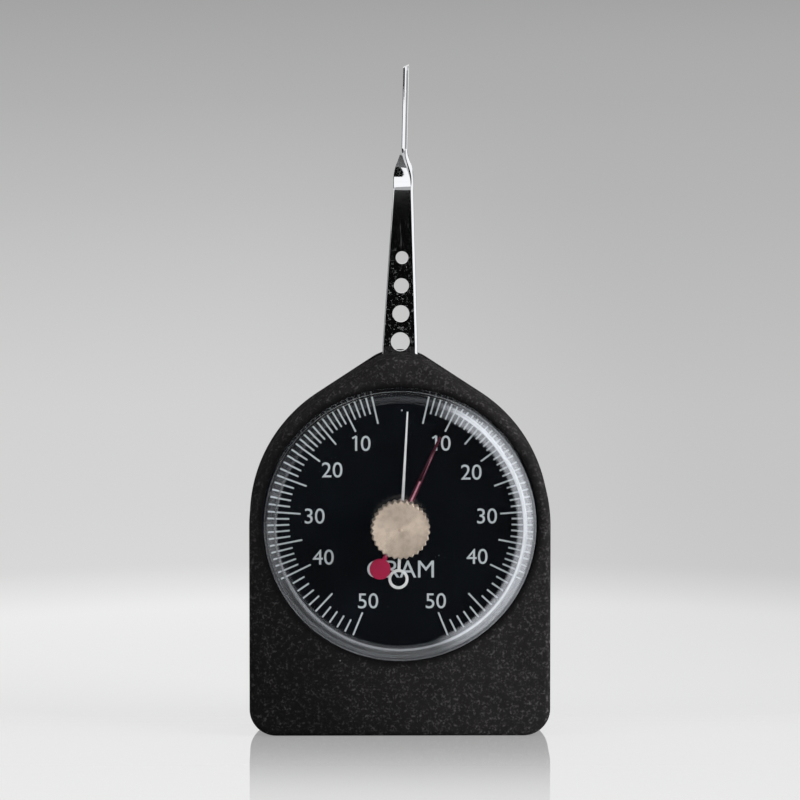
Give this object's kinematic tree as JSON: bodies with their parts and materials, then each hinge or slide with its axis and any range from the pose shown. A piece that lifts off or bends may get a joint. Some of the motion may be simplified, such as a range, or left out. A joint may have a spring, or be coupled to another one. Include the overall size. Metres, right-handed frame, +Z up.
{
  "type": "force gauge",
  "caption": "Hand-held dial force gauge: a sprung feeler arm turns a pointer through a gear pair, with a drag pointer and a reset knob on the crystal.",
  "frame": {"origin": "middle of the flat base that the case stands on, half way through its depth", "axes": "+Z up along the feeler arm, +Y from the dial to the rear cover, +X to the right as the dial is read"},
  "size_m": [0.062, 0.027, 0.1384],
  "materials": {
    "case_paint": "black wrinkle paint on a light alloy casting",
    "clear_acrylic": "clear polished acrylic",
    "dial_paint": "satin black with white print",
    "white_paint": "satin white",
    "red_paint": "gloss crimson",
    "nickelled_brass": "knurled and turned, pale nickel over brass",
    "chromed_steel": "polished chrome",
    "bright_steel": "turned bright steel",
    "brass": "clean turned brass",
    "spring_bronze": "drawn phosphor bronze"
  },
  "bodies": {
    "case": {"front_case": "case_paint", "rear_cover": "case_paint", "crystal": "clear_acrylic", "dial_plate": "dial_paint", "knob_bearing": "brass", "friction_washer": "spring_bronze", "main_spring": "spring_bronze", "main_spring_stud": "brass", "hair_spring": "spring_bronze", "hair_spring_stud": "brass", "stop_pin_left": "bright_steel", "stop_pin_right": "bright_steel", "front_plate": "brass", "rear_bridge": "brass", "arbor_front_bush": "spring_bronze", "arbor_rear_bush": "spring_bronze", "staff_front_bush": "spring_bronze", "staff_rear_bush": "spring_bronze", "movement_post_1": "brass", "movement_post_2": "brass", "movement_post_3": "brass", "bridge_pillar_1": "brass", "bridge_pillar_2": "brass", "bridge_pillar_3": "brass", "bridge_screw_1": "bright_steel", "bridge_screw_2": "bright_steel", "bridge_screw_3": "bright_steel", "plate_screw_1": "bright_steel", "plate_screw_2": "bright_steel", "plate_screw_3": "bright_steel", "post_screw_1": "bright_steel", "post_screw_2": "bright_steel", "post_screw_3": "bright_steel", "cover_screw_1": "bright_steel", "cover_screw_2": "bright_steel", "cover_screw_3": "bright_steel", "cover_screw_4": "bright_steel"},
    "lever": {"feeler_arm": "chromed_steel", "arm_screw_upper": "bright_steel", "arm_screw_lower": "bright_steel", "lever_hub": "brass", "lever_staff": "bright_steel", "sector_gear": "brass", "main_spring_collet": "brass"},
    "pointer": {"pinion_arbor": "bright_steel", "main_pointer": "white_paint", "hair_spring_collet": "brass"},
    "reset": {"reset_knob": "nickelled_brass", "knob_spindle": "bright_steel", "drag_pointer": "red_paint"}
  },
  "joints": [
    {"name": "lever_pivot", "type": "hinge", "parent": "case", "child": "lever", "pos_m": [0, 0, 0.071], "axis": [0, 1, 0], "range_deg": [-16.5, 16.5], "stiffness_Nm_per_rad": 0.11},
    {"name": "pointer_spin", "type": "hinge", "parent": "case", "child": "pointer", "pos_m": [0, 0, 0.044], "axis": [0, 1, 0], "range_deg": [-165, 165]},
    {"name": "knob_spin", "type": "hinge", "parent": "case", "child": "reset", "pos_m": [0, 0, 0.044], "axis": [0, 1, 0], "range_deg": [-188, 142]}
  ],
  "couplings": [
    {"joint": "pointer_spin", "follows": "lever_pivot", "ratio": -10}
  ]
}
